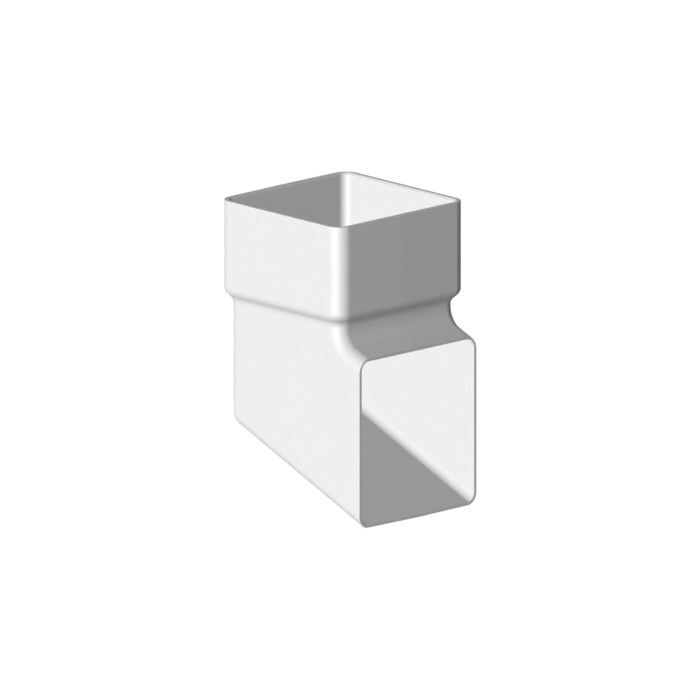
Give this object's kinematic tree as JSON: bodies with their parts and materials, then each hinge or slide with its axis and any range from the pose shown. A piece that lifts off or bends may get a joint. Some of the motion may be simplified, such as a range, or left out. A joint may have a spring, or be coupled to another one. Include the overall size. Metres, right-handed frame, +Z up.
{
  "type": "downpipe shoe",
  "caption": "Square downpipe shoe in white plastic: a rounded square socket steps in at a sloped shoulder to a body that turns forward into a falling, open spout.",
  "frame": {"origin": "on the pipe's centre line at the pipe stop, the ledge at the foot of the socket", "axes": "+Z up the pipe and out of the socket, -Y the way the water leaves the spout, X sideways"},
  "size_m": [0.0712, 0.08, 0.1239],
  "materials": {
    "white_upvc": "moulded semi-gloss"
  },
  "bodies": {
    "root": {"downpipe_shoe": "white_upvc"}
  },
  "joints": []
}
